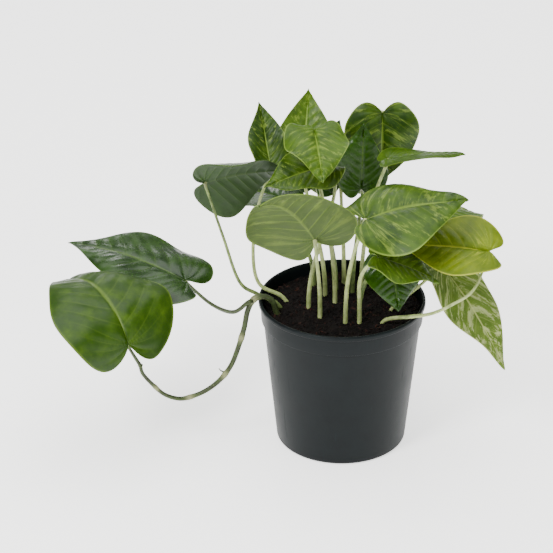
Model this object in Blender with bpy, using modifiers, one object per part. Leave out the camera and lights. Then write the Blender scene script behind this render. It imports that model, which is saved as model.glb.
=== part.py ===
"""A pothos in a round nursery pot: the pot, its potting mix, a trailing vine, and leaves on their stalks.

Metres, +Z up. The origin is the middle of the pot's underside, where it stands. +X is to the right of
somebody who faces the pot, and +Y is away from them.
"""

import math
from collections import namedtuple

import bmesh
import bpy
from mathutils import Matrix, Vector

MM = 0.001

# The pot
POT_HEIGHT = 112 * MM
RIM_RADIUS = 60 * MM
BASE_RADIUS = 46.5 * MM
BASE_ROUND = 3 * MM
WALL = 1.2 * MM
COLLAR_HEIGHT = 16 * MM
COLLAR_STEP = 1.5 * MM
COLLAR_TAPER = 0.6 * MM
LIP = 1.4 * MM
FOOT_PAD_RADIUS = 17 * MM
GROOVE_WIDTH = 22 * MM
GROOVE_DEPTH = 2 * MM
GROOVE_SLOPE = 1.5 * MM
DRAIN_COUNT = 8
DRAIN_RADIUS = 3.5 * MM
POT_SIDES = 48
ROUND_STEPS = 3

# The potting mix
SOIL_DROP = 9 * MM
SOIL_CROWN = 2 * MM
SOIL_SIDES = 32
SOIL_RINGS = 4

GAP = 0.35 * MM

# The plant, which is as much larger as its pot is: a plant unit is a millimetre on the pot as it stands
PLANT_UNIT = RIM_RADIUS / 60
BLADE_THICKNESS = 0.8 * MM
BLADE_COLUMNS = 6  # even, so that one line of points runs down the midrib
BLADE_ROWS = 9
STALK_RADIUS = 1.7 * MM
STALK_TAPER = 0.65
STALK_FOOT = 0.4 * SOIL_DROP
STALK_POINTS = 12
STALK_RISE = 0.38
STALK_REACH = 0.30
STALK_CLEARANCE = 2.0 * MM
VINE_RADIUS = 2.3 * MM
VINE_TAPER = 0.6
VINE_POINTS = 44
CURVE_RESOLUTION = 2

# Half of a blade's outline, as one curve from the notch round the lobe and the shoulder to the tip. Each
# row is a knot and the handles before and after it, as shares of the blade's length and of its width.
NOTCH = ((0.00, 0.00), (0.00, 0.00), (-0.04, 0.02))
LOBE = ((-0.15, 0.20), (-0.15, 0.10), (-0.15, 0.33))
SHOULDER = ((0.26, 0.50), (0.05, 0.50), (0.52, 0.50))
TIP = ((1.00, 0.00), (0.84, 0.11), (1.00, 0.00))
LOBE_SHARE = 0.24
SHOULDER_SHARE = 0.56
MIDRIB_EASE = 1.5

POT_PLASTIC = ((0.022, 0.030, 0.031), 0.42)
POTTING_MIX = ((0.018, 0.012, 0.009), 0.95)
GREEN = ((0.085, 0.190, 0.018), 0.42)
DEEP_GREEN = ((0.020, 0.075, 0.012), 0.35)
LIME = ((0.230, 0.330, 0.020), 0.42)
CREAM = ((0.330, 0.400, 0.170), 0.45)
STALK_GREEN = ((0.240, 0.320, 0.110), 0.45)
VINE_GREEN = ((0.050, 0.075, 0.022), 0.50)
PAINTS = {GREEN: "leaf_green", DEEP_GREEN: "leaf_deep_green", LIME: "leaf_lime", CREAM: "leaf_cream"}

# One leaf. root is where its stalk leaves the soil, as (x, y), or the point just off the vine that it
# grows from, as (x, y, z), and via holds any points that the stalk passes on its way. base is the notch
# where stalk and blade meet. heading is the way the blade points, anticlockwise from +X; pitch is how far
# it points up; roll is how far it leans to its own right. arch is how far it bends down along its length,
# fold is how far its halves are raised, and curl is how far each half then bends down towards its edge.
# Angles are in degrees, heights are over the pot's lip, and places and lengths are in plant units.
Leaf = namedtuple("Leaf", "name root via base heading pitch roll length width arch fold curl paint")

LEAVES = (
    Leaf("vine_front", (-144, -39.5, -34), (), (-152, -45, -13), 122, 62, 4, 106, 94, 118, 6, 22, DEEP_GREEN),
    Leaf("vine_back", (-67, -16.5, 5), ((-78, -10, -6.5), (-94, 14, -13)), (-113, 30, -2),
         158, 20, -5, 96, 74, 26, 6, 20, DEEP_GREEN),
    Leaf("left_low", (-48, 0), ((-61, -3, 4.5), (-74, -5, 16), (-85, -6, 52)), (-97, -5, 95),
         12, 11, -54, 58, 86, 16, 4, 34, DEEP_GREEN),
    Leaf("left_upright", (-44, 10), ((-60, 9, 7), (-64, 20, 28), (-60, 32, 58)), (-51, 30, 88),
         106, 54, 0, 50, 32, 8, 22, 0, GREEN),
    Leaf("left_front", (-24, -2), (), (-10, -8, 110), 204, -4, -20, 50, 42, 14, 14, 20, GREEN),
    Leaf("crown_point", (-12, 16), (), (-28, 42, 81), 84, 54, 0, 61, 44, 12, 16, 0, GREEN),
    Leaf("crown_dark", (-4, 26), (), (-18, 56, 62), 62, 50, 0, 52, 40, 10, 12, 0, DEEP_GREEN),
    Leaf("crown_front", (-5, 6), (), (-21, -2, 134), 278, -12, 0, 48, 46, 26, 10, 20, GREEN),
    Leaf("front_left", (-16, -16), (), (-20, -26, 60), 184, 60, 70, 76, 84, 66, 8, 26, GREEN),
    Leaf("front_right", (2, -24), (), (15, -46, 87), 10, 16, 10, 74, 82, 24, 14, 58, GREEN),
    Leaf("front_low", (12, -24), (), (24, -52, 60), 0, -16, 8, 48, 38, 20, 8, 34, GREEN),
    Leaf("right_out", (32, -26), ((48, -38, 5), (62, -51, 14.5), (76, -56, 24.5), (91, -53, 35)), (101, -40, 58),
         176, 8, -20, 66, 56, 14, 12, 18, LIME),
    Leaf("right_hang", (12, -14), (), (34, -26, 48), 284, -58, 0, 40, 44, 10, 6, 20, DEEP_GREEN),
    Leaf("over_rim", (38, -6), ((56, -14, 18),), (71, -15, 33), 315, -34, 6, 86, 44, 24, 8, 6, CREAM),
    Leaf("crown_right", (14, 14), (), (33, 18, 102), 5, 4, -16, 54, 48, 6, 6, 14, DEEP_GREEN),
    Leaf("crown_shade", (8, 22), (), (14, 40, 68), 82, 82, 0, 48, 38, 6, 10, 0, DEEP_GREEN),
    Leaf("crown_back", (24, 43), ((27, 57, 38), (29, 70, 72), (29, 76, 100)), (29, 63, 116),
         270, -76, 0, 54, 54, 22, 8, 22, GREEN),
    Leaf("back_middle", (2, 36), (), (0, 77, 50), 92, -6, 0, 68, 60, 40, 8, 20, GREEN),
    Leaf("back_right", (30, 26), (), (60, 42, 44), 44, -2, 0, 68, 56, 40, 10, 20, GREEN),
    Leaf("back_left", (-20, 34), (), (-44, 60, 50), 138, 0, 0, 70, 58, 40, 8, 20, DEEP_GREEN),
    Leaf("back_low", (8, 46), (), (14, 72, 24), 84, -16, 0, 62, 54, 30, 8, 20, GREEN),
)

# The vine's way, from its root in the soil as (x, y), over the rim and down, and up again to its last
# leaf. Heights are over the lip, in plant units.
VINE_ROOT = (-47, -9)
VINE_ROUTE = (
    (-50, -9.6, 2), (-56, -11, 6.5), (-63, -12, 5), (-67.5, -12.5, -4), (-70, -14, -17), (-74, -16, -31),
    (-79, -18, -44.5), (-85.5, -20, -54), (-94, -22, -61.5), (-104, -24, -66.5), (-116, -26.5, -68.5),
    (-127, -31, -62.5), (-135, -35, -52.5), (-142, -38.5, -41.5),
)


def in_pot(point):
    """A place in metres from one in plant units, with its height over the lip."""
    x, y, z = point
    return Vector((x * PLANT_UNIT, y * PLANT_UNIT, POT_HEIGHT + z * PLANT_UNIT))


def soil_place(root):
    """The place on the soil, just clear of it, of a root in plant units."""
    x, y = (value * PLANT_UNIT for value in root)
    return Vector((x, y, soil_height(math.hypot(x, y)) + 2 * GAP))


def material(name, paint):
    """A plain material of one colour and roughness."""
    made = bpy.data.materials.get(name) or bpy.data.materials.new(name)
    made.use_nodes = True
    shader = made.node_tree.nodes["Principled BSDF"]
    colour, roughness = paint
    shader.inputs["Base Color"].default_value = (*colour, 1)
    shader.inputs["Roughness"].default_value = roughness
    made.diffuse_color = (*colour, 1)
    return made


def add_object(name, data, collection, finish):
    """Link new data as an object of the plant, in one material."""
    made = bpy.data.objects.new(name, data)
    data.materials.append(finish)
    collection.objects.link(made)
    return made


def arc(centre, radius, start, end, steps=ROUND_STEPS):
    """Points (r, z) of a round stretch, with its angles in degrees."""
    points = []
    for step in range(steps + 1):
        angle = math.radians(start + (end - start) * step / steps)
        points.append((centre[0] + radius * math.cos(angle), centre[1] + radius * math.sin(angle)))
    return points


def turned(name, profile, sides, collection, finish):
    """A solid turned about Z from a profile (r, z) that starts and ends on the axis."""
    mesh = bpy.data.meshes.new(name)
    edges = [(index, index + 1) for index in range(len(profile) - 1)]
    mesh.from_pydata([(r, 0, z) for r, z in profile], edges, [])
    made = add_object(name, mesh, collection, finish)
    screw = made.modifiers.new("Turn", "SCREW")
    screw.steps = sides
    screw.render_steps = sides
    screw.use_merge_vertices = True
    screw.merge_threshold = 1e-6
    return made


def collar_bottom():
    return POT_HEIGHT - COLLAR_HEIGHT


def wall_radius(height):
    """Outer radius of the tapered wall below the collar."""
    top = RIM_RADIUS - LIP - COLLAR_TAPER - COLLAR_STEP
    return BASE_RADIUS + (top - BASE_RADIUS) * height / collar_bottom()


def collar_radius():
    """Outer radius of the collar just under the lip."""
    return RIM_RADIUS - LIP


def groove_outer():
    return FOOT_PAD_RADIUS + GROOVE_WIDTH


def floor_top():
    """Height of the pot's floor over the groove, which is where it is highest."""
    return GROOVE_DEPTH + WALL


def inner_radius(height):
    """Radius of the hollow at a height."""
    if height < collar_bottom() + WALL:
        return wall_radius(min(height, collar_bottom())) - WALL
    share = (height - collar_bottom()) / COLLAR_HEIGHT
    return collar_radius() - COLLAR_TAPER * (1 - share) - WALL


def pot_profile():
    """The pot's section, from the middle of its floor, up the inside, over the lip and down the outside."""
    low = collar_bottom()
    inside = [
        (0, WALL),
        (FOOT_PAD_RADIUS - WALL / 2, WALL),
        (FOOT_PAD_RADIUS + GROOVE_SLOPE - WALL / 2, floor_top()),
        (groove_outer() - GROOVE_SLOPE + WALL / 2, floor_top()),
        (groove_outer() + WALL / 2, WALL),
        (wall_radius(0) - BASE_ROUND, WALL),
        (wall_radius(BASE_ROUND) - WALL, BASE_ROUND),
        (wall_radius(low) - WALL, low + WALL),
        (collar_radius() - COLLAR_TAPER - WALL, low + 2 * WALL),
        (collar_radius() - WALL, POT_HEIGHT - LIP),
    ]
    lip_middle = (collar_radius(), POT_HEIGHT - LIP)
    lip = arc(lip_middle, LIP, 120, 0, 2 * ROUND_STEPS)
    outside = [
        (RIM_RADIUS, POT_HEIGHT - 2 * LIP),
        (collar_radius(), POT_HEIGHT - 2.5 * LIP),
        (collar_radius() - COLLAR_TAPER, low + WALL / 2),
        (collar_radius() - COLLAR_TAPER - WALL / 2, low),
        (wall_radius(low), low),
    ]
    foot = arc((wall_radius(BASE_ROUND) - BASE_ROUND, BASE_ROUND), BASE_ROUND, 0, -90)
    underside = [
        (groove_outer(), 0),
        (groove_outer() - GROOVE_SLOPE, GROOVE_DEPTH),
        (FOOT_PAD_RADIUS + GROOVE_SLOPE, GROOVE_DEPTH),
        (FOOT_PAD_RADIUS, 0),
        (0, 0),
    ]
    return inside + lip + outside + foot + underside


def add_pot(collection, cutters):
    """The pot, with drain holes through the raised ring of its floor."""
    pot = turned("pot", pot_profile(), POT_SIDES, collection, material("pot_plastic", POT_PLASTIC))
    ring = FOOT_PAD_RADIUS + GROOVE_WIDTH / 2
    for number in range(DRAIN_COUNT):
        angle = 2 * math.pi * (number + 0.5) / DRAIN_COUNT
        place = Matrix.Translation((ring * math.cos(angle), ring * math.sin(angle), floor_top()))
        form = bmesh.new()
        bmesh.ops.create_cone(form, cap_ends=True, segments=12, radius1=DRAIN_RADIUS, radius2=DRAIN_RADIUS,
                              depth=4 * floor_top(), matrix=place)
        mesh = bpy.data.meshes.new(f"drain_{number + 1}")
        form.to_mesh(mesh)
        form.free()
        cutter = bpy.data.objects.new(mesh.name, mesh)
        cutter.hide_render = True
        cutter.display_type = "WIRE"
        cutters.objects.link(cutter)
        cut = pot.modifiers.new(cutter.name, "BOOLEAN")
        cut.operation = "DIFFERENCE"
        cut.solver = "EXACT"
        cut.object = cutter


def soil_edge():
    """Height of the soil where it meets the pot."""
    return POT_HEIGHT - SOIL_DROP


def soil_height(radius):
    """Height of the soil's gently domed top."""
    return soil_edge() + SOIL_CROWN * (1 - (radius / inner_radius(soil_edge())) ** 2)


def add_soil(collection):
    """The potting mix, which fills the pot from its floor to just under its lip."""
    low = collar_bottom()
    bottom = floor_top() + GAP
    edge = inner_radius(soil_edge()) - 2 * GAP
    top = [(edge * ring / SOIL_RINGS, soil_height(edge * ring / SOIL_RINGS)) for ring in range(SOIL_RINGS + 1)]
    side = [
        (inner_radius(low) - 2 * GAP, low),
        (inner_radius(bottom + BASE_ROUND) - 2 * GAP, bottom + BASE_ROUND),
        (inner_radius(bottom) - BASE_ROUND, bottom),
        (0, bottom),
    ]
    turned("potting_mix", top + side, SOIL_SIDES, collection, material("potting_mix", POTTING_MIX))


def through(points, count):
    """Evenly counted points of a smooth curve through the given ones."""
    ends = [2 * points[0] - points[1]] + list(points) + [2 * points[-1] - points[-2]]
    spans = len(points) - 1
    route = []
    for number in range(count):
        place = spans * number / (count - 1)
        span = min(int(place), spans - 1)
        t = place - span
        a, b, c, d = ends[span:span + 4]
        route.append(0.5 * (2 * b + (c - a) * t + (2 * a - 5 * b + 4 * c - d) * t ** 2
                            + (3 * b - a - 3 * c + d) * t ** 3))
    return route


def add_tube(name, route, radius, taper, collection, finish):
    """A round stem along a route, thinner towards its end."""
    curve = bpy.data.curves.new(name, "CURVE")
    curve.dimensions = "3D"
    curve.bevel_depth = radius
    curve.bevel_resolution = CURVE_RESOLUTION
    curve.use_fill_caps = True
    spline = curve.splines.new("POLY")
    spline.points.add(len(route) - 1)
    for number, (point, place) in enumerate(zip(spline.points, route)):
        point.co = (*place, 1)
        point.radius = 1 + (taper - 1) * number / (len(route) - 1)
    return add_object(name, curve, collection, finish)


def blade_frame(leaf):
    """The blade's own axes: X to its tip, Y to its left and Z out of its upper face."""
    turn = Matrix.Rotation(math.radians(leaf.heading), 4, "Z")
    tilt = Matrix.Rotation(-math.radians(leaf.pitch), 4, "Y")
    lean = Matrix.Rotation(math.radians(leaf.roll), 4, "X")
    return Matrix.Translation(in_pot(leaf.base)) @ turn @ tilt @ lean


def cubic(a, b, c, d, t):
    """A point of the cubic curve from a to d with handles b and c."""
    return a * (1 - t) ** 3 + 3 * b * t * (1 - t) ** 2 + 3 * c * t ** 2 * (1 - t) + d * t ** 3


def between(start, end, t):
    """A point of the outline from one of its knots to the next."""
    return cubic(Vector(start[0]), Vector(start[2]), Vector(end[1]), Vector(end[0]), t)


def outline(share):
    """A point of the half outline, from 0 at the notch to 1 at the tip."""
    if share < LOBE_SHARE:
        return between(NOTCH, LOBE, share / LOBE_SHARE)
    if share < SHOULDER_SHARE:
        return between(LOBE, SHOULDER, (share - LOBE_SHARE) / (SHOULDER_SHARE - LOBE_SHARE))
    return between(SHOULDER, TIP, (share - SHOULDER_SHARE) / (1 - SHOULDER_SHARE))


def bend(distance, total, angle, turn):
    """Along and across distances of an arc that starts at an angle and turns over its whole length."""
    steps = 8
    along = across = 0
    for step in range(steps):
        at = angle + turn * (step + 0.5) / steps * distance / total
        along += math.cos(at) * distance / steps
        across += math.sin(at) * distance / steps
    return along, across


def blade_point(leaf, side, share):
    """A point of the blade's middle surface: side is -1 to 1 across, share 0 to 1 from notch to tip."""
    length, width = leaf.length * PLANT_UNIT, leaf.width * PLANT_UNIT
    edge = outline(share)
    midrib = share ** MIDRIB_EASE
    flat_x = length * (midrib + (edge.x - midrib) * abs(side))
    flat_y = width * edge.y * abs(side)
    x, z = bend(flat_x, length, 0, -math.radians(leaf.arch))
    y, rise = bend(flat_y, width / 2, math.radians(leaf.fold), -math.radians(leaf.curl))
    slope = -math.radians(leaf.arch) * flat_x / length
    return Vector((x - rise * math.sin(slope), math.copysign(y, side), z + rise * math.cos(slope)))


def add_blade(leaf, collection):
    """A heart-shaped blade: a grid bent to its shape and then given its thickness."""
    form = bmesh.new()
    bmesh.ops.create_grid(form, x_segments=BLADE_ROWS, y_segments=BLADE_COLUMNS, size=1)
    place = blade_frame(leaf)
    for vert in form.verts:
        vert.co = place @ blade_point(leaf, vert.co.y, (vert.co.x + 1) / 2)
    bmesh.ops.remove_doubles(form, verts=form.verts, dist=1e-6)
    mesh = bpy.data.meshes.new(f"leaf_{leaf.name}")
    form.to_mesh(mesh)
    form.free()
    finish = PAINTS[leaf.paint]
    made = add_object(mesh.name, mesh, collection, material(finish, leaf.paint))
    solid = made.modifiers.new("Thickness", "SOLIDIFY")
    solid.thickness = BLADE_THICKNESS
    solid.offset = 0
    return made


def stalk_route(leaf):
    """The stalk's way from its root to just under the blade's notch, where it comes from below."""
    arrival = (blade_frame(leaf).to_3x3() @ Vector((0.5, 0, 0.85))).normalized()
    end = in_pot(leaf.base) - arrival * STALK_CLEARANCE
    if len(leaf.root) == 3:
        return through([in_pot(point) for point in (leaf.root, *leaf.via)] + [end], STALK_POINTS)
    start = soil_place(leaf.root)
    foot = start + Vector((0, 0, STALK_FOOT))
    if leaf.via:
        return [start] + through([foot] + [in_pot(point) for point in leaf.via] + [end], STALK_POINTS)
    span = (end - start).length
    first = foot + Vector((0, 0, STALK_RISE * span))
    second = end - arrival * STALK_REACH * span
    return [start] + [cubic(foot, first, second, end, number / (STALK_POINTS - 1))
                      for number in range(STALK_POINTS)]



def build():
    for existing in list(bpy.data.objects):
        bpy.data.objects.remove(existing, do_unlink=True)
    plant = bpy.data.collections.new("potted_pothos")
    cutters = bpy.data.collections.new("cutters")
    for collection in (plant, cutters):
        bpy.context.scene.collection.children.link(collection)
    add_pot(plant, cutters)
    add_soil(plant)
    vine = through([soil_place(VINE_ROOT)] + [in_pot(point) for point in VINE_ROUTE], VINE_POINTS)
    add_tube("vine", vine, VINE_RADIUS, VINE_TAPER, plant, material("vine_green", VINE_GREEN))
    for leaf in LEAVES:
        add_tube(f"stalk_{leaf.name}", stalk_route(leaf), STALK_RADIUS, STALK_TAPER, plant,
                 material("stalk_green", STALK_GREEN))
        add_blade(leaf, plant)


build()
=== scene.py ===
"""A potted pothos and the plain stage that it stands on: its pot, soil, vine, stalks and leaf blades.

Metres, +Z up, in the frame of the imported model. Every piece replaces the plain solid of the same part.
"""

import random
from collections import namedtuple
from math import ceil, copysign, cos, exp, hypot, pi, radians, sin, tau

import bmesh
import bpy
from bpy.props import FloatProperty, FloatVectorProperty, IntProperty, PointerProperty
from mathutils import Matrix, Vector, noise


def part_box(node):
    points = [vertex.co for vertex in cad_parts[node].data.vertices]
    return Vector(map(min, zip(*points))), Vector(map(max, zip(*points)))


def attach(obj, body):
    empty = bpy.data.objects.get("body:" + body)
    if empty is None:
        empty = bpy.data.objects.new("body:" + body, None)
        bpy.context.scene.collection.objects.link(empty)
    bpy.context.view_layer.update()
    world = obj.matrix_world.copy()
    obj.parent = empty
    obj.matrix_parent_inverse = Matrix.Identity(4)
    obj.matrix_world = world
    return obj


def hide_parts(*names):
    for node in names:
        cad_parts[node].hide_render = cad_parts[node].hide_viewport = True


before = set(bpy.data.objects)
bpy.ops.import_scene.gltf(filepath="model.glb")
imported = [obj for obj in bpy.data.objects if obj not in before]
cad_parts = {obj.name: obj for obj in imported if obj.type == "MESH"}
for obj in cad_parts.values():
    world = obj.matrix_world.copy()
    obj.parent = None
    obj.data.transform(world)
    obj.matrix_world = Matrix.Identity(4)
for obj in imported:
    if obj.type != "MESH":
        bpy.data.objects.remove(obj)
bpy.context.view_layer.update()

bl_info = {
    "name": "Potted Pothos",
    "version": (1, 0, 0),
    "blender": (4, 5, 0),
    "location": "View3D > Sidebar > Pothos",
    "description": "Makes a pothos in a nursery pot, with its trailing vine, stalks and marbled leaves",
    "category": "Add Mesh",
}

BODY = "root"
MM = 0.001

# A length in metres, or a share, that is too small to matter.
TINY = 1e-6

# The pot's own sizes come from the frame, and the plant's unit from the pot's rim. GAP is the clearance
# between the plain solids, and SOIL_CROWN is how much higher the soil is in the middle than at its edge.
POT_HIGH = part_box("pot")[1]
SOIL_LOW, SOIL_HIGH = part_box("potting_mix")
RIM_RADIUS = POT_HIGH.x
POT_HEIGHT = POT_HIGH.z
GAP = 0.35 * MM
SOIL_RADIUS = SOIL_HIGH.x + 2 * GAP
PLANT_UNIT = RIM_RADIUS / 60
SOIL_CROWN = 2 * MM
SOIL_EDGE = SOIL_HIGH.z - SOIL_CROWN

# The soil's side as (radius, height), from under the collar down to the rounded foot.
SOIL_SIDE = (
    (SOIL_RADIUS - 1.9 * MM, POT_HEIGHT - 16 * MM),
    (46.0 * MM, SOIL_LOW.z + 3 * MM),
    (43.0 * MM, SOIL_LOW.z),
)

# How a stalk leaves the soil and reaches its blade. A free one starts ROOTED below the soil and rises by
# STALK_FOOT before it bends, and its curve's handles are shares of its span. One that is led past given
# points starts SLANT_DOWN below the soil and up to SLANT_BACK behind its root. Both arrive along ARRIVAL, in
# their blade's axes. The steps are the points along a route.
STALK_FOOT = 0.4 * (POT_HEIGHT - SOIL_EDGE)
STALK_RISE = 0.38
STALK_REACH = 0.30
STALK_CLEARANCE = 2.0 * MM
NOTCH_CLEARANCE = 0.2 * STALK_CLEARANCE
STALK_STEPS = 48
VINE_STEPS = 240
ROOTED = 4 * MM
SLANT_BACK = 2 * ROOTED
SLANT_DOWN = 1.2 * ROOTED
ARRIVAL = (0.5, 0, 0.85)

# Half of a blade's outline, as one curve from the notch round the lobe and the shoulder to the tip. Each
# row is a knot and the handles before and after it, as shares of the blade's length and of its width.
NOTCH = ((0.00, 0.00), (0.00, 0.00), (-0.04, 0.02))
LOBE = ((-0.15, 0.20), (-0.15, 0.10), (-0.15, 0.33))
SHOULDER = ((0.26, 0.50), (0.05, 0.50), (0.52, 0.50))
TIP = ((1.00, 0.00), (0.84, 0.11), (1.00, 0.00))
LOBE_SHARE = 0.24
SHOULDER_SHARE = 0.56
MIDRIB_EASE = 1.5
BEND_STEPS = 8

# The side veins lean towards the tip by VEIN_SLANT and bow by VEIN_BOW, and FAN_VEINS fan into each lobe.
VEIN_SLANT = 0.42
VEIN_BOW = 0.75
FAN_VEINS = 3.0
LEAST_REACH = 1e-4

# A blade's relief. VEIN_PINCH is how wide the dip along a vein is, as a share of the space between veins.
# The quilting grows by QUILT_RISE from the midrib and fades to the edge with the power QUILT_FADE. The
# midrib's groove is shallower by RIB_FADE at the tip. WAVES is the number of waves along an edge, and
# WAVES_VARY how much it differs from leaf to leaf. RIPPLES is how many ripples a metre takes; they are at
# RIPPLE_LEAST of their height on the midrib and grow by RIPPLE_RISE towards the edge.
VEIN_PINCH = 0.16
QUILT_RISE = 5
QUILT_FADE = 5
RIB_FADE = 0.75
WAVES = 2.3
WAVES_VARY = 0.6
RIPPLES = 38
RIPPLE_RISE = 3
RIPPLE_LEAST = 0.2

# Steps from one leaf to the next, so that no two have the same waves, ripples or marbling.
WAVES_STEP = 2.1
PHASE_STEP = 1.9
PHASE_SIDE = 1.3
RIPPLE_STEP = 5.3
TONE_STEP = 0.381966
FLAT_STEP = 0.1

# Where a blade's own map starts at the notch, and how much of the map its length takes.
MAP_START = 0.15
MAP_LENGTH = 0.84

# One leaf. root is where its stalk leaves the soil, as (x, y), or the point just off the vine that it
# grows from, as (x, y, z), and via holds any points that the stalk passes on its way. base is the notch
# where stalk and blade meet. heading is the way the blade points, anticlockwise from +X; pitch is how far
# it points up; roll is how far it leans to its own right. arch is how far it bends down along its length,
# fold is how far its halves are raised, and curl is how far each half then bends down towards its edge.
# Angles are in degrees, heights are over the pot's lip, and places and lengths are in plant units.
Leaf = namedtuple("Leaf", "name root via base heading pitch roll length width arch fold curl paint")

LEAVES = (
    Leaf("vine_front", (-144, -39.5, -34), (), (-152, -45, -13),
         122, 62, 4, 106, 94, 118, 6, 22, "plain_green"),
    Leaf("vine_back", (-67, -16.5, 5), ((-78, -10, -6.5), (-94, 14, -13)), (-113, 30, -2),
         158, 20, -5, 96, 74, 26, 6, 20, "deep_green"),
    Leaf("left_low", (-48, 0), ((-61, -3, 4.5), (-74, -5, 16), (-85, -6, 52)), (-97, -5, 95),
         12, 11, -54, 58, 86, 16, 4, 34, "deep_green"),
    Leaf("left_upright", (-44, 10), ((-60, 9, 7), (-64, 20, 28), (-60, 32, 58)), (-51, 30, 88),
         106, 54, 0, 50, 32, 8, 22, 0, "green"),
    Leaf("left_front", (-24, -2), (), (-10, -8, 110), 204, -4, -20, 50, 42, 14, 14, 20, "green"),
    Leaf("crown_point", (-12, 16), (), (-28, 42, 81), 84, 54, 0, 61, 44, 12, 16, 0, "green"),
    Leaf("crown_dark", (-4, 26), (), (-18, 56, 62), 62, 50, 0, 52, 40, 10, 12, 0, "deep_green"),
    Leaf("crown_front", (-5, 6), (), (-21, -2, 134), 278, -12, 0, 48, 46, 26, 10, 20, "green"),
    Leaf("front_left", (-16, -16), (), (-20, -26, 60), 184, 60, 70, 76, 84, 66, 8, 26, "green"),
    Leaf("front_right", (2, -24), (), (15, -46, 87), 10, 16, 10, 74, 82, 24, 14, 58, "green"),
    Leaf("front_low", (12, -24), (), (24, -52, 60), 0, -16, 8, 48, 38, 20, 8, 34, "green"),
    Leaf("right_out", (32, -26), ((48, -38, 5), (62, -51, 14.5), (76, -56, 24.5), (91, -53, 35)),
         (101, -40, 58), 176, 8, -20, 66, 56, 14, 12, 18, "lime"),
    # right_hang sits in shade, and its deep green paint also stands for that shade, as painted shade.
    Leaf("right_hang", (12, -14), (), (34, -26, 48), 284, -58, 0, 40, 44, 10, 6, 20, "deep_green"),
    Leaf("over_rim", (38, -6), ((56, -14, 18),), (71, -15, 33), 315, -34, 6, 86, 44, 24, 8, 6, "cream"),
    Leaf("crown_right", (14, 14), (), (33, 18, 102), 5, 4, -16, 54, 48, 6, 6, 14, "plain_green"),
    # crown_shade is a dark leaf put in the shaded gap between crown_front and crown_back. Its deep green is
    # partly painted shade.
    Leaf("crown_shade", (8, 22), (), (14, 40, 68), 82, 82, 0, 48, 38, 6, 10, 0, "deep_green"),
    Leaf("crown_back", (24, 43), ((27, 57, 38), (29, 70, 72), (29, 76, 100)), (29, 63, 116),
         270, -76, 0, 54, 54, 22, 8, 22, "green"),
    Leaf("back_middle", (2, 36), (), (0, 77, 50), 92, -6, 0, 68, 60, 40, 8, 20, "green"),
    Leaf("back_right", (30, 26), (), (60, 42, 44), 44, -2, 0, 68, 56, 40, 10, 20, "green"),
    Leaf("back_left", (-20, 34), (), (-44, 60, 50), 138, 0, 0, 70, 58, 40, 8, 20, "deep_green"),
    Leaf("back_low", (8, 46), (), (14, 72, 24), 84, -16, 0, 62, 54, 30, 8, 20, "green"),
)

# The vine's way, from its root in the soil as (x, y), over the rim and down, and up again to its last
# leaf. Heights are over the lip, in plant units.
VINE_ROOT = (-47, -9)
VINE_ROUTE = (
    (-50, -9.6, 2), (-56, -11, 6.5), (-63, -12, 5), (-67.5, -12.5, -4), (-70, -14, -17), (-74, -16, -31),
    (-79, -18, -44.5), (-85.5, -20, -54), (-94, -22, -61.5), (-104, -24, -66.5), (-116, -26.5, -68.5),
    (-127, -31, -62.5), (-135, -35, -52.5), (-142, -38.5, -41.5),
)

# Where the vine's aerial root stands, and its steps off the vine and along it, all in plant units.
NUB_PLACE = (-88, -19, -47)
NUB_STEPS = ((0, 0), (2.5, 1.0), (4.5, 1.2), (6.5, 0.6))

# The soil's fixed seed, so that every run makes the same lumps and crumbs. CHUNK_VARY is how far a chunk's
# points are moved in or out. The two noises of the soil's top have a scale, a share of the lumps' height and
# a place, and SOIL_SINK is the share of that height by which the whole top is lowered.
SOIL_SEED = 11
CHUNK_VARY = (0.72, 1.15)
SOIL_BROAD = (70, 0.7, SOIL_SEED * 1.7)
SOIL_FINE = (330, 0.45, SOIL_SEED * 2.3)
SOIL_SINK = 0.2

# The lights, all square and aimed at LIGHT_AIM, with their sides in metres and their power in watts.
Light = namedtuple("Light", "name place size power")

LIGHTS = (
    Light("overhead_light", (0.0, 0.3, 2.3), 2.2, 62),
    Light("key_light", (-1.0, -1.2, 1.7), 0.6, 46),
    Light("back_light", (-0.2, 1.7, 1.1), 0.35, 4),
    Light("fill_light", (1.5, -1.1, 0.7), 1.2, 7),
)
LIGHT_AIM = (-0.03, 0, 0.1)


def srgb(red, green, blue):
    """A colour given in 0 to 255 as the linear colour that a shader takes."""
    linear = []
    for value in (red, green, blue):
        share = value / 255
        linear.append(share / 12.92 if share <= 0.04045 else ((share + 0.055) / 1.055) ** 2.4)
    return tuple(linear)


def metres(name, description, default):
    return FloatProperty(name=name, description=description, default=default, min=0, unit="LENGTH",
                         precision=5)


def plain(name, description, default):
    return FloatProperty(name=name, description=description, default=default)


def whole(name, description, default, least):
    return IntProperty(name=name, description=description, default=default, min=least)


def colour(name, description, default):
    return FloatVectorProperty(name=name, description=description, default=default, size=3, min=0, max=1,
                               subtype="COLOR")


# ------------ sizes and colours that a user sets


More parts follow.
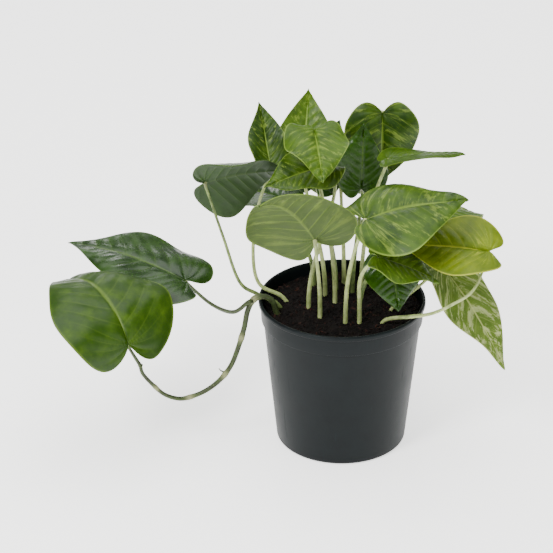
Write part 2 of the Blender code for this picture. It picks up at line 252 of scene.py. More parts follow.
class PotSizes(bpy.types.PropertyGroup):
    base_radius: metres("Base radius", "Outer radius of the tapered wall at the floor", 46.5 * MM)
    base_round: metres("Base round", "Radius of the rounded foot", 3 * MM)
    wall: metres("Wall", "Thickness of the moulded wall", 1.2 * MM)
    collar_height: metres("Collar height", "Height of the straight collar under the lip", 16 * MM)
    collar_step: metres("Collar step", "How far the wall steps in below the collar", 1.5 * MM)
    collar_taper: metres("Collar taper", "How much the collar narrows downwards", 0.6 * MM)
    lip: metres("Lip", "Radius of the rolled lip", 1.4 * MM)
    pad_radius: metres("Foot pad", "Radius of the round pad in the middle of the underside", 17 * MM)
    groove_width: metres("Groove width", "Width of the raised ring of the floor", 22 * MM)
    groove_depth: metres("Groove depth", "How far the ring is raised off the ground", 2 * MM)
    groove_slope: metres("Groove slope", "Width of the ring's sloping sides", 1.5 * MM)
    drain_radius: metres("Drain radius", "Radius of one drain hole", 3.5 * MM)
    drain_count: whole("Drains", "Drain holes round the floor", 8, 3)
    sides: whole("Sides", "Facets round the pot", 192, 24)
    plastic: colour("Plastic", "The dark slate plastic", srgb(6, 9, 11))
    # Worn plastic is the paler tone of the mottling and the scuffs, and also of the painted sheen on the
    # lip.
    worn_and_sheen: colour("Worn plastic", "The plastic where it is rubbed pale", srgb(26, 34, 35))
    dust: colour("Soil dust", "Dried soil that clings to the collar and the foot", srgb(44, 34, 28))


class SoilSizes(bpy.types.PropertyGroup):
    rings: whole("Rings", "Rings of points over the soil's top", 60, 8)
    sides: whole("Sides", "Points round each ring", 150, 24)
    lumps: metres("Lumps", "Height of the uneven top", 1.6 * MM)
    crumb_size: metres("Crumb size", "Radius of a common crumb", 0.9 * MM)
    chip_size: metres("Chip size", "Half the length of a bark chip", 2.6 * MM)
    crumb_density: plain("Crumbs", "Crumbs on a square metre", 260000)
    chip_density: plain("Chips", "Bark chips on a square metre", 26000)
    mix: colour("Mix", "Damp potting mix", srgb(9, 7, 6))
    crumb: colour("Crumb", "Drier crumbs of the mix", srgb(28, 19, 16))
    bark: colour("Bark", "Reddish-brown bark chips", srgb(72, 40, 30))


class StemSizes(bpy.types.PropertyGroup):
    vine_radius: metres("Vine radius", "Radius of the vine at its root", 2.3 * MM)
    vine_taper: plain("Vine taper", "The end's radius as a share", 0.6)
    node_spacing: metres("Node spacing", "From one swollen node of the vine to the next", 31 * MM)
    node_swell: plain("Node swell", "How much a node is thicker", 0.22)
    nub_radius: metres("Root radius", "Radius of the aerial root where it leaves the vine", 0.8 * MM)
    stalk_radius: metres("Stalk radius", "Radius of a leaf stalk at its foot", 1.7 * MM)
    stalk_taper: plain("Stalk taper", "The end's radius as a share", 0.65)
    joint_length: metres("Joint length", "Length of the swollen joint under a blade", 5 * MM)
    joint_swell: plain("Joint swell", "How much the joint is thicker", 0.35)
    groove: plain("Groove", "Depth of a stalk's channel as a share", 0.42)
    vine: colour("Vine", "Dark green stem", srgb(62, 76, 40))
    vine_dark: colour("Vine shade", "Brownish green of the stem's ridges", srgb(40, 42, 26))
    pale: colour("Pale tone", "Pale tone of a stem's flecks and of its swollen parts", srgb(176, 178, 128))
    stalk: colour("Stalk", "Pale green leaf stalk", srgb(178, 188, 128))
    stalk_dark: colour("Stalk shade", "Greener streaks of a stalk", srgb(128, 146, 84))


class BladeSizes(bpy.types.PropertyGroup):
    thickness: metres("Thickness", "Thickness of a leaf blade", 0.55 * MM)
    columns: whole("Columns", "Even number of faces across a blade", 48, 8)
    rows: whole("Rows", "Faces along a blade", 84, 12)
    veins: plain("Side veins", "Side veins along each half", 8.0)
    quilt: metres("Quilting", "How far the blade puffs up between its side veins", 0.6 * MM)
    midrib: metres("Midrib depth", "Depth of the groove along the midrib", 0.75 * MM)
    midrib_width: metres("Midrib width", "Half width of the midrib's groove", 1.1 * MM)
    wave: metres("Edge wave", "Height of the waves along the edge", 3.0 * MM)
    ripple: metres("Ripple", "Height of the broad unevenness of a blade", 2.2 * MM)


class StageSettings(bpy.types.PropertyGroup):
    floor_size: metres("Floor", "Side of the square floor", 12.0)
    aim: FloatVectorProperty(name="Aim", description="Point that the camera looks at", subtype="TRANSLATION",
                             default=(-0.047, 0.0, 0.129))
    distance: metres("Camera distance", "From the camera to the point it looks at", 2.4)
    width: metres("Framed width", "Width of the picture at the point it looks at", 0.395)
    elevation: FloatProperty(name="Elevation", description="How steeply the camera looks down",
                             default=radians(28), subtype="ANGLE")
    floor: colour("Floor colour", "The pale floor", srgb(244, 244, 243))
    glow: plain("Floor glow", "Strength of the floor's own light", 1.7)
    sky: plain("Sky", "Strength of the white light from all round", 0.55)


# ------------ nodes


def feed(socket, value):
    """Give an input a link from an output, or a value of its own."""
    if isinstance(value, bpy.types.NodeSocket):
        socket.id_data.links.new(value, socket)
    elif socket.type == "RGBA":
        socket.default_value = (*tuple(value)[:3], 1)
    else:
        socket.default_value = value


def feed_all(made, inputs):
    for name, value in inputs.items():
        feed(made.inputs[name], value)


def node(kind, output, inputs, tree=None, **settings):
    """One output of a new node, which stands in the given tree or in that of the outputs that feed it."""
    for value in inputs.values():
        if isinstance(value, bpy.types.NodeSocket):
            tree = value.id_data
    made = tree.nodes.new(kind)
    for name, value in settings.items():
        setattr(made, name, value)
    feed_all(made, inputs)
    return made.outputs[output]


def sums(operation, *values):
    return node("ShaderNodeMath", "Value", dict(enumerate(values)), operation=operation)


def times(first, second):
    return sums("MULTIPLY", first, second)


def shader_nodes(name):
    """A new node material, with its tree and its Principled shader."""
    made = bpy.data.materials.new(name)
    made.use_nodes = True
    return made, made.node_tree, made.node_tree.nodes["Principled BSDF"]


def object_place(tree):
    return node("ShaderNodeTexCoord", "Object", {}, tree)


def stored(tree, name, output="Fac"):
    """A value that is stored on the mesh under a name."""
    return node("ShaderNodeAttribute", output, {}, tree, attribute_name=name)


def joined(x, y, z):
    return node("ShaderNodeCombineXYZ", "Vector", {"X": x, "Y": y, "Z": z})


def grain(place, scale, detail=4.0, roughness=0.55, distortion=0.0):
    """Noise from 0 to 1, with its scale in patches a metre."""
    return node("ShaderNodeTexNoise", "Fac", {
        "Vector": place, "Scale": scale, "Detail": detail, "Roughness": roughness,
        "Distortion": distortion})


def rise(value, start, end, low=0.0, high=1.0):
    """A smooth step of a value, from low at start to high at end."""
    return node("ShaderNodeMapRange", "Result", {
        "Value": value, "From Min": start, "From Max": end, "To Min": low, "To Max": high},
        interpolation_type="SMOOTHSTEP")


def blend(share, first, second):
    """Two colours mixed, with the share of the second."""
    return node("ShaderNodeMix", 2, {"Factor": share, 6: first, 7: second}, data_type="RGBA")


def layered(base, *layers):
    """A colour under layers, each with its share, the most that it covers and its colour."""
    for share, most, tint in layers:
        base = blend(times(share, most), base, tint)
    return base


def raised(height, distance, strength=1.0, normal=None):
    """A bump from a height of 0 to 1, with the distance in metres that 1 stands for."""
    inputs = {"Height": height, "Distance": distance, "Strength": strength}
    if normal:
        inputs["Normal"] = normal
    return node("ShaderNodeBump", "Normal", inputs)


def geometry_tree(name, inputs):
    """A new Geometry Nodes tree that takes a geometry and named inputs, and what those inputs give."""
    tree = bpy.data.node_groups.new(name, "GeometryNodeTree")
    for title, kind in (("Geometry", "Geometry"), *inputs):
        tree.interface.new_socket(title, in_out="INPUT", socket_type=f"NodeSocket{kind}")
    tree.interface.new_socket("Geometry", in_out="OUTPUT", socket_type="NodeSocketGeometry")
    return tree, tree.nodes.new("NodeGroupInput").outputs


def end_tree(tree, geometry, material):
    """End a tree: its instances are made real, its material is set and the geometry handed out."""
    real = node("GeometryNodeRealizeInstances", "Geometry", {"Geometry": geometry})
    painted = node("GeometryNodeSetMaterial", "Geometry", {"Geometry": real, "Material": material})
    feed(tree.nodes.new("NodeGroupOutput").inputs["Geometry"], painted)
    return tree


# ------------ the plant's finishes


def pot_plastic(pot):
    """Thin moulded plastic: fine grain, faint upright scuffs, a painted sheen on the lip and a little soil
    dust.
    """
    finish, tree, shader = shader_nodes("pot_plastic")
    place = object_place(tree)
    height = node("ShaderNodeSeparateXYZ", "Z", {"Vector": place})
    mottle = grain(place, scale=55, detail=5)
    upright = node("ShaderNodeMapping", "Vector", {"Vector": place, "Scale": (420, 420, 26)})
    scuffs = rise(grain(upright, scale=1, detail=3), start=0.60, end=0.78)
    # The top few millimetres are painted paler in a mottled way: a painted sheen on the lip.
    near_lip = rise(height, start=POT_HEIGHT - 4 * MM, end=POT_HEIGHT)
    lip_sheen = times(near_lip, rise(mottle, start=0.3, end=0.7))
    base = layered(pot.plastic, (mottle, 0.5, pot.worn_and_sheen), (scuffs, 0.35, pot.worn_and_sheen), (lip_sheen, 0.5, pot.worn_and_sheen))
    specks = rise(grain(place, scale=700, detail=6, roughness=0.7), start=0.60, end=0.72)
    low = rise(height, start=14 * MM, end=0, high=0.5)
    high = rise(height, start=POT_HEIGHT - 12 * MM, end=POT_HEIGHT - 2 * MM, high=0.35)
    dusty = times(specks, sums("ADD", high, low))
    uneven = sums("ADD", scuffs, mottle)
    fine = raised(grain(place, scale=1500, detail=2), 0.03 * MM)
    feed_all(shader, {
        "Base Color": blend(dusty, base, pot.dust),
        "Roughness": rise(uneven, start=0.2, end=1.2, low=0.40, high=0.56),
        "Normal": raised(scuffs, 0.03 * MM, strength=0.6, normal=fine),
        "Specular IOR Level": 0.12})
    return finish


def potting_mix(name, light, dark, roughness):
    """Damp crumbly mix, or the bark in it: two tones with a rough fibrous surface."""
    finish, tree, shader = shader_nodes(name)
    place = object_place(tree)
    broad = grain(place, scale=120, detail=6, roughness=0.65)
    fine = grain(place, scale=1400, detail=5, roughness=0.7)
    tone = times(rise(broad, start=0.35, end=0.7), rise(fine, start=0.35, end=0.65))
    feed_all(shader, {
        "Base Color": blend(tone, dark, light),
        "Roughness": roughness,
        "Normal": raised(fine, 0.25 * MM),
        "Specular IOR Level": 0.15})
    return finish


# The tones of one leaf paint: its deep and lively greens, its marbling, its edge and its underside, how much
# of the blade the marbling takes and how strongly, both from 0 to 1, how rough and how glossy it is, and the
# material slot that it takes.
Tones = namedtuple("Tones", "deep lively marbling edge under share strength rough gloss slot")

PAINTS = {
    "green": Tones(srgb(27, 52, 4), srgb(68, 96, 10), srgb(124, 146, 54), srgb(112, 136, 50),
                   srgb(86, 100, 56), 0.62, 0.55, 0.42, 0.18, "leaf_green"),
    # deep_green is a darker leaf green. On the leaves that sit in shade it also serves as painted shade.
    "deep_green": Tones(srgb(14, 38, 1), srgb(38, 70, 4), srgb(74, 98, 28), srgb(66, 90, 30),
                        srgb(48, 66, 36), 0.24, 0.50, 0.25, 0.28, "leaf_deep_green"),
    "plain_green": Tones(srgb(34, 60, 2), srgb(70, 98, 6), srgb(84, 110, 26), srgb(86, 110, 32),
                         srgb(62, 82, 38), 0.18, 0.35, 0.36, 0.20, "leaf_deep_green"),
    "lime": Tones(srgb(78, 98, 4), srgb(122, 138, 8), srgb(166, 174, 46), srgb(166, 172, 54),
                  srgb(118, 132, 38), 0.40, 0.60, 0.42, 0.18, "leaf_lime"),
    "cream": Tones(srgb(48, 74, 16), srgb(86, 108, 34), srgb(172, 180, 122), srgb(164, 172, 106),
                   srgb(118, 130, 80), 0.74, 0.70, 0.44, 0.18, "leaf_cream"),
}

# How far apart the marblings of two blades are read, and how much a blade's own tone shifts its mottling.
MARBLING_STEP = 37.0
TONE_SHIFT = 0.35

# Streaks over this bound are pale on a plain blade; on a fully marbled one the bound is lower. Their border
# is soft, and the flecks between them are weaker by their amount.
STREAK_BOUND = 0.72
STREAK_LOWER = 0.30
STREAK_SOFT = 0.09
FLECK_AMOUNT = 0.6


def leaf_skin(name, tones, underside):
    """A living blade: mottled green, marbling that runs out along the side veins, pale midrib and edge."""
    finish, tree, shader = shader_nodes(name)
    flat = stored(tree, "flat", "Vector")
    vein, across, tone = (stored(tree, value) for value in ("vein", "across", "tone"))
    seed = times(tone, MARBLING_STEP)

    def with_veins(per_vein, per_half):
        """A place for noise that is drawn out along the side veins."""
        return joined(times(vein, per_vein), times(across, per_half), seed)

    mottle = grain(flat, scale=75, detail=6, roughness=0.6)
    mottling = rise(sums("MULTIPLY_ADD", tone, TONE_SHIFT, mottle), start=0.38, end=0.92)
    base = blend(mottling, tones.deep, tones.lively)
    streaks = grain(with_veins(0.9, 1.1), scale=2.0, detail=7, roughness=0.68, distortion=0.3)
    flecks = grain(with_veins(3.4, 2.4), scale=2.4, detail=5, roughness=0.7)
    bound = STREAK_BOUND - STREAK_LOWER * tones.share
    marbled = rise(streaks, start=bound, end=bound + STREAK_SOFT)
    flecked = times(rise(flecks, start=0.60, end=0.68), FLECK_AMOUNT * min(1, 2 * tones.share))
    pale = sums("MAXIMUM", marbled, flecked)
    to_vein = sums("PINGPONG", vein, 0.5)
    fan = times(rise(to_vein, start=0.10, end=0.0), rise(across, start=0.92, end=0.5))
    rib = rise(across, start=0.055, end=0.012)
    margin = rise(across, start=0.955, end=0.992)
    base = layered(
        base,
        (pale, tones.strength, tones.marbling),
        (fan, 0.20, tones.edge),
        (rise(to_vein, start=0.14, end=0.5), 0.22, tones.deep),
        (rib, 0.75, tones.edge),
        (margin, 0.8, tones.edge))
    rough = (tones.rough - 0.05, tones.rough + 0.08)
    vein_strength = -0.5
    if underside:
        dull = rise(streaks, start=0.45, end=0.30)
        base = layered(blend(0.55, base, tones.under), (fan, 0.35, tones.edge), (dull, 0.45, tones.deep))
        rough = (0.50, 0.62)
        vein_strength = 1.0
    pores = raised(grain(flat, scale=2600, detail=3, roughness=0.6), 0.035 * MM)
    feed_all(shader, {
        "Base Color": base,
        "Roughness": rise(mottle, start=0.3, end=0.7, low=rough[0], high=rough[1]),
        "Normal": raised(fan, 0.12 * MM, strength=vein_strength, normal=pores),
        "Specular IOR Level": tones.gloss,
        "Subsurface Weight": 0.10,
        "Subsurface Radius": (0.6, 1.0, 0.25),
        "Subsurface Scale": 0.8 * MM})
    return finish


def stem_skin(name, light, dark, pale, swollen_amount):
    """A green stem: long streaks, fine pores, pale flecks, and a paler tone where it is swollen."""
    finish, tree, shader = shader_nodes(name)
    place = object_place(tree)
    around, along = times(stored(tree, "around"), 2.2), times(stored(tree, "along"), 60)
    streaks = grain(joined(around, along, 0.0), scale=1.6, detail=5, roughness=0.6)
    mottle = grain(place, scale=240, detail=5, roughness=0.6)
    flecks = rise(grain(place, scale=900, detail=3, roughness=0.6), start=0.63, end=0.70)
    base = blend(rise(sums("ADD", streaks, mottle), start=0.7, end=1.25), dark, light)
    feed_all(shader, {
        "Base Color": layered(base, (stored(tree, "swollen"), swollen_amount, pale), (flecks, 0.35, pale)),
        "Roughness": rise(mottle, start=0.3, end=0.7, low=0.36, high=0.52),
        "Normal": raised(streaks, 0.12 * MM, strength=0.7),
        "Specular IOR Level": 0.25,
        "Subsurface Weight": 0.08,
        "Subsurface Radius": (0.8, 1.0, 0.3),
        "Subsurface Scale": 1.0 * MM})
    return finish


def floor_paint(stage):
    """A plain pale floor with the faintest unevenness and a glow of its own."""
    finish, tree, shader = shader_nodes("studio_floor")
    fine = grain(object_place(tree), scale=30, detail=2)
    feed_all(shader, {
        "Base Color": stage.floor,
        "Roughness": rise(fine, start=0.3, end=0.7, low=0.62, high=0.70),
        "Emission Color": stage.floor,
        "Emission Strength": stage.glow})
    return finish


# ------------ the plant's shared shapes


def in_pot(point):
    """A place given in plant units over the lip, in metres."""
    x, y, z = point
    return Vector((x * PLANT_UNIT, y * PLANT_UNIT, POT_HEIGHT + z * PLANT_UNIT))


def soil_height(radius):
    return SOIL_EDGE + SOIL_CROWN * (1 - (radius / SOIL_RADIUS) ** 2)


def soil_place(root):
    """The place on the soil, just clear of it, of a root in plant units."""
    x, y = (value * PLANT_UNIT for value in root)
    return Vector((x, y, soil_height(hypot(x, y)) + 2 * GAP))


def through(points, count):
    """Evenly counted points of a smooth curve through the given ones."""
    ends = [2 * points[0] - points[1]] + list(points) + [2 * points[-1] - points[-2]]
    spans = len(points) - 1
    route = []
    for number in range(count):
        place = spans * number / (count - 1)
        span = min(int(place), spans - 1)
        t = place - span
        a, b, c, d = ends[span:span + 4]
        route.append(0.5 * (2 * b + (c - a) * t + (2 * a - 5 * b + 4 * c - d) * t ** 2
                            + (3 * b - a - 3 * c + d) * t ** 3))
    return route


def cubic(a, b, c, d, t):
    """A point of the cubic curve from a to d with handles b and c."""
    return a * (1 - t) ** 3 + 3 * b * t * (1 - t) ** 2 + 3 * c * t ** 2 * (1 - t) + d * t ** 3


def blade_frame(leaf):
    """The blade's own axes: X to its tip, Y to its left and Z out of its upper face."""
    turn = Matrix.Rotation(radians(leaf.heading), 4, "Z")
    tilt = Matrix.Rotation(-radians(leaf.pitch), 4, "Y")
    lean = Matrix.Rotation(radians(leaf.roll), 4, "X")
    return Matrix.Translation(in_pot(leaf.base)) @ turn @ tilt @ lean


def between(start, end, t):
    """A point of the outline from one of its knots to the next."""
    return cubic(Vector(start[0]), Vector(start[2]), Vector(end[1]), Vector(end[0]), t)


def outline(share):
    """A point of the half outline, from 0 at the notch to 1 at the tip."""
    if share < LOBE_SHARE:
        return between(NOTCH, LOBE, share / LOBE_SHARE)
    if share < SHOULDER_SHARE:
        return between(LOBE, SHOULDER, (share - LOBE_SHARE) / (SHOULDER_SHARE - LOBE_SHARE))
    return between(SHOULDER, TIP, (share - SHOULDER_SHARE) / (1 - SHOULDER_SHARE))


def bend(distance, total, angle, turn):
    """Along and across distances of an arc that starts at an angle and turns over its whole length."""
    along = across = 0
    for step in range(BEND_STEPS):
        at = angle + turn * (step + 0.5) / BEND_STEPS * distance / total
        along += cos(at) * distance / BEND_STEPS
        across += sin(at) * distance / BEND_STEPS
    return along, across


def blade_size(leaf):
    """A blade's length and width in metres."""
    return leaf.length * PLANT_UNIT, leaf.width * PLANT_UNIT


def flat_point(leaf, side, share):
    """A point of the blade before it is bent, in metres along and across."""
    length, width = blade_size(leaf)
    edge = outline(share)
    midrib = share ** MIDRIB_EASE
    return length * (midrib + (edge.x - midrib) * abs(side)), width * edge.y * abs(side)


def bent_point(leaf, side, x, y):
    """The same point on the bent blade, in the blade's own axes."""
    length, width = blade_size(leaf)
    along, drop = bend(x, length, 0, -radians(leaf.arch))
    out, up = bend(y, width / 2, radians(leaf.fold), -radians(leaf.curl))
    slope = -radians(leaf.arch) * x / length
    return Vector((along - up * sin(slope), copysign(out, side), drop + up * cos(slope)))


def rooted(start, towards):
    """A point in the soil, a little behind a stem's start, so that the stem leaves the soil at a slant."""
    lead = (towards - start).normalized()
    return start - SLANT_BACK * Vector((lead.x, lead.y, 0)) - Vector((0, 0, SLANT_DOWN))


def vine_route(count):
    """The vine's way from inside the soil, over the rim and down, to the foot of its last leaf's stalk."""
    start = soil_place(VINE_ROOT)
    points = [start] + [in_pot(point) for point in VINE_ROUTE] + [in_pot(LEAVES[0].root)]
    return through([rooted(start, points[1])] + points, count)


def stalk_route(leaf, count):
    """The stalk's way from inside the soil, or from the vine, to the blade's notch, met from below."""
    arrival = (blade_frame(leaf).to_3x3() @ Vector(ARRIVAL)).normalized()
    end = in_pot(leaf.base) - arrival * STALK_CLEARANCE
    notch = in_pot(leaf.base) - arrival * NOTCH_CLEARANCE
    if len(leaf.root) == 3:
        root = in_pot(leaf.root)
        joint = min(vine_route(VINE_STEPS), key=lambda point: (point - root).length)
        points = [joint] if (joint - root).length > GAP else []
        return through(points + [root] + [in_pot(point) for point in leaf.via] + [end], count) + [notch]
    start = soil_place(leaf.root)
    foot = start + Vector((0, 0, STALK_FOOT))
    if leaf.via:
        points = [foot] + [in_pot(point) for point in leaf.via] + [end]
        return through([rooted(start, points[1])] + points, count) + [notch]
    span = (end - start).length
    first = foot + Vector((0, 0, STALK_RISE * span))
    second = end - arrival * STALK_REACH * span
    way = [cubic(foot, first, second, end, number / (count - 1)) for number in range(count)]
    return [start - Vector((0, 0, ROOTED)), start] + way + [notch]


def made_mesh(form, name):
    """The mesh of a form, which is freed."""
    mesh = bpy.data.meshes.new(name)
    form.to_mesh(mesh)
    form.free()
    return mesh


def working_object(name, data):
    made = bpy.data.objects.new(name, data)
    bpy.context.scene.collection.objects.link(made)
    return made


def settled(source, name):
    """The plain mesh that an object's modifiers make; the object itself is removed."""
    graph = bpy.context.evaluated_depsgraph_get()
    mesh = bpy.data.meshes.new_from_object(source.evaluated_get(graph), depsgraph=graph)
    mesh.name = name
    bpy.data.objects.remove(source, do_unlink=True)
    return mesh


def give_nodes(target, tree, values):
    """Put a node tree on an object, with its named inputs set before anything is evaluated."""
    modifier = target.modifiers.new(tree.name, "NODES")
    modifier.node_group = tree
    for item in tree.interface.items_tree:
        if item.item_type == "SOCKET" and item.in_out == "INPUT" and item.name in values:
            modifier[item.identifier] = values[item.name]


def add_piece(name, mesh, replaces):
    """Link a finished mesh as a piece that rides on the plant and stands for a plain solid."""
    piece = working_object(name, mesh)
    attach(piece, BODY)
    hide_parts(replaces)


# ------------ the pot


def arc(centre, radius, start, end, steps):
    """Points (r, z) of a round stretch, with its angles in degrees."""
    points = []
    for step in range(steps + 1):
        angle = radians(start + (end - start) * step / steps)
        points.append((centre[0] + radius * cos(angle), centre[1] + radius * sin(angle)))
    return points


def divided(points, longest):
    """The same profile with its long runs cut into even steps."""
    finer = [points[0]]
    for (r0, z0), (r1, z1) in zip(points, points[1:]):
        steps = max(1, ceil(hypot(r1 - r0, z1 - z0) / longest))
        shares = [step / steps for step in range(1, steps + 1)]
        finer += [(r0 + (r1 - r0) * share, z0 + (z1 - z0) * share) for share in shares]
    return finer


def pot_profile(pot):
    """The pot's section, from the middle of its floor, up the inside, over the lip and down the outside."""
    low = POT_HEIGHT - pot.collar_height
    collar = RIM_RADIUS - pot.lip
    top = collar - pot.collar_taper - pot.collar_step
    floor = pot.groove_depth + pot.wall
    groove = pot.pad_radius + pot.groove_width
    bead_round = 0.5 * pot.lip
    bead_foot = 2.7 * pot.lip
    corner = 0.4 * pot.wall

    def wall_at(height):
        return pot.base_radius + (top - pot.base_radius) * height / low

    inside = [
        (0, pot.wall),
        (pot.pad_radius - pot.wall / 2, pot.wall),
        (pot.pad_radius + pot.groove_slope - pot.wall / 2, floor),
        (groove - pot.groove_slope + pot.wall / 2, floor),
        (groove + pot.wall / 2, pot.wall),
        (wall_at(0) - pot.base_round, pot.wall),
        (wall_at(pot.base_round) - pot.wall, pot.base_round),
        (top - pot.wall, low + pot.wall),
        (collar - pot.collar_taper - pot.wall, low + 2 * pot.wall),
        (collar - pot.wall, POT_HEIGHT - pot.lip),
    ]
    lip = arc((collar, POT_HEIGHT - pot.lip), pot.lip, start=120, end=0, steps=12)
    bead = (RIM_RADIUS - bead_round, POT_HEIGHT - 2 * pot.lip)
    outside = arc(bead, bead_round, start=0, end=-75, steps=5)
    outside += [(collar, POT_HEIGHT - bead_foot)]
    outside += arc((collar - pot.collar_taper - corner, low + corner), corner, start=0, end=-90, steps=4)
    outside += [(top + corner, low), (top, low - corner)]
    round_middle = (wall_at(pot.base_round) - pot.base_round, pot.base_round)
    foot = arc(round_middle, pot.base_round, start=0, end=-90, steps=8)
    underside = [
        (groove, 0),
        (groove - pot.groove_slope, pot.groove_depth),
        (pot.pad_radius + pot.groove_slope, pot.groove_depth),
        (pot.pad_radius, 0),
        (0, 0),
    ]
    return divided(inside + lip + outside + foot + underside, longest=6 * MM)


class POTHOS_OT_pot(bpy.types.Operator):
    """Make the nursery pot, with its rolled lip, stepped collar and drain holes"""

    bl_idname = "pothos.pot"
    bl_label = "Nursery Pot"

    def execute(self, context):
        pot = context.scene.pothos_pot
        profile = pot_profile(pot)
        mesh = bpy.data.meshes.new("nursery_pot")
        mesh.from_pydata([(r, 0, z) for r, z in profile], [(n, n + 1) for n in range(len(profile) - 1)], [])
        blank = working_object("pot_blank", mesh)
        screw = blank.modifiers.new("Turn", "SCREW")
        screw.steps = pot.sides
        screw.render_steps = pot.sides
        screw.use_merge_vertices = True
        screw.merge_threshold = TINY
        drills = self.drills(pot)
        cut = blank.modifiers.new("Drains", "BOOLEAN")
        cut.operation = "DIFFERENCE"
        cut.solver = "EXACT"
        cut.object = drills
        mesh = settled(blank, "nursery_pot")
        bpy.data.objects.remove(drills, do_unlink=True)
        mesh.shade_smooth()
        mesh.set_sharp_from_angle(angle=radians(34))
        mesh.materials.clear()
        mesh.materials.append(pot_plastic(pot))
        add_piece("nursery_pot", mesh, "pot")
        return {"FINISHED"}

    def drills(self, pot):
        """One object with a drill for each drain hole, on the middle of the raised ring."""
        ring = pot.pad_radius + pot.groove_width / 2
        form = bmesh.new()
        for number in range(pot.drain_count):
            angle = tau * (number + 0.5) / pot.drain_count
            place = Matrix.Translation((ring * cos(angle), ring * sin(angle), pot.groove_depth))
            bmesh.ops.create_cone(form, cap_ends=True, segments=32, radius1=pot.drain_radius,
                                  radius2=pot.drain_radius, depth=5 * pot.groove_depth, matrix=place)
        return working_object("drills", made_mesh(form, "drills"))


# ------------ the soil


def chunk(name, size, seed):
    """One crumb or chip: a coarse ball pushed out of shape."""
    form = bmesh.new()
    bmesh.ops.create_icosphere(form, subdivisions=1, radius=1)
    chance = random.Random(seed)
    for vert in form.verts:
        vert.co *= chance.uniform(*CHUNK_VARY)
        vert.co = [value * stretch for value, stretch in zip(vert.co, size)]
    return made_mesh(form, name)


def scatter_tree():
    """Scatter chunks over the top of a mesh: named sizes in, one plain mesh out."""
    tree, given = geometry_tree("soil_scatter", (
        ("Crumb", "Object"), ("Density", "Float"), ("Smallest", "Float"), ("Largest", "Float"),
        ("Seed", "Int"), ("Material", "Material")))
    points = node("GeometryNodeDistributePointsOnFaces", "Points", {
        "Mesh": given["Geometry"], "Density": given["Density"], "Seed": given["Seed"]})
    shape = node("GeometryNodeObjectInfo", "Geometry", {"Object": given["Crumb"]})
    turn = node("FunctionNodeRandomValue", 0, {
        "Max": (tau, tau, tau), "Seed": given["Seed"]}, data_type="FLOAT_VECTOR")
    size = node("FunctionNodeRandomValue", 1, {
        2: given["Smallest"], 3: given["Largest"], "Seed": given["Seed"]}, data_type="FLOAT")
    placed = node("GeometryNodeInstanceOnPoints", "Instances", {
        "Points": points, "Instance": shape, "Rotation": turn, "Scale": size})
    return end_tree(tree, placed, given["Material"])


class POTHOS_OT_soil(bpy.types.Operator):
    """Make the potting mix, with its uneven top, crumbs and bark chips"""

    bl_idname = "pothos.soil"
    bl_label = "Potting Mix"

    def execute(self, context):
        soil = context.scene.pothos_soil
        parts = [self.top(soil, True)]
        tree = scatter_tree()
        crumbs = potting_mix("soil_crumbs", soil.crumb, soil.mix, roughness=0.92)
        bark = potting_mix("bark_chips", soil.bark, soil.crumb, roughness=0.80)
        body = potting_mix("potting_mix", soil.crumb, soil.mix, roughness=0.94)
        size, chip = soil.crumb_size, soil.chip_size
        # A name, a shape, a number on a square metre, the smallest and largest scale and a finish.
        kinds = (
            ("crumb", (size, 0.8 * size, 0.7 * size), soil.crumb_density, 0.35, 1.35, crumbs),
            ("lump", (1.9 * size, 1.6 * size, 1.2 * size), 0.12 * soil.crumb_density, 0.6, 1.3, crumbs),
            ("bark", (chip, 0.45 * chip, 0.22 * chip), soil.chip_density, 0.4, 1.2, bark),
        )
        for number, (name, shape, density, smallest, largest, finish) in enumerate(kinds):
            seed = SOIL_SEED + number
            model = working_object(name, chunk(name, shape, seed))
            patch = working_object(f"{name}_patch", self.top(soil, False))
            give_nodes(patch, tree, {"Crumb": model, "Density": density, "Smallest": smallest,
                                     "Largest": largest, "Seed": seed, "Material": finish})
            parts.append(settled(patch, f"{name}_scatter"))
            bpy.data.objects.remove(model, do_unlink=True)
        mesh = self.gathered(parts, (0, 1, 1, 2))
        for finish in (body, crumbs, bark):
            mesh.materials.append(finish)
        add_piece("soil", mesh, "potting_mix")
        return {"FINISHED"}

    def surface(self, soil, radius, angle):
        """A point of the uneven top."""
        x, y = radius * cos(angle), radius * sin(angle)
        lumps = -SOIL_SINK
        for scale, share, place in (SOIL_BROAD, SOIL_FINE):
            lumps += share * noise.noise(Vector((x, y, place)) * scale)
        return Vector((x, y, soil_height(radius) + soil.lumps * lumps))

    def top(self, soil, closed):
        """The uneven top as a disc of rings, or with its sides and bottom as a closed body."""
        form = bmesh.new()
        turns = [tau * number / soil.sides for number in range(soil.sides)]
        edge = SOIL_RADIUS - 2 * GAP
        rings = [[form.verts.new(self.surface(soil, edge * ring / soil.rings, turn)) for turn in turns]
                 for ring in range(1, soil.rings + 1)]
        if closed:
            rings += [[form.verts.new((radius * cos(turn), radius * sin(turn), height))
                       for turn in turns] for radius, height in SOIL_SIDE]
        middle = form.verts.new(self.surface(soil, 0, 0))
        for number in range(soil.sides):
            form.faces.new((middle, rings[0][number], rings[0][(number + 1) % soil.sides]))
        for inner, outer in zip(rings, rings[1:]):
            for number in range(soil.sides):
                after = (number + 1) % soil.sides
                form.faces.new((inner[number], outer[number], outer[after], inner[after]))
        if closed:
            form.faces.new(list(reversed(rings[-1])))
        return made_mesh(form, "soil_top")

    def gathered(self, parts, slots):
        """All the soil's meshes as one, each with its own material slot; only the first is smooth."""
        form = bmesh.new()
        for part, slot in zip(parts, slots):
            first = len(form.faces)
            form.from_mesh(part)
            form.faces.ensure_lookup_table()
            for face in form.faces[first:]:
                face.material_index = slot
                face.smooth = first == 0
        return made_mesh(form, "soil")


# ------------ the vine and the stalks


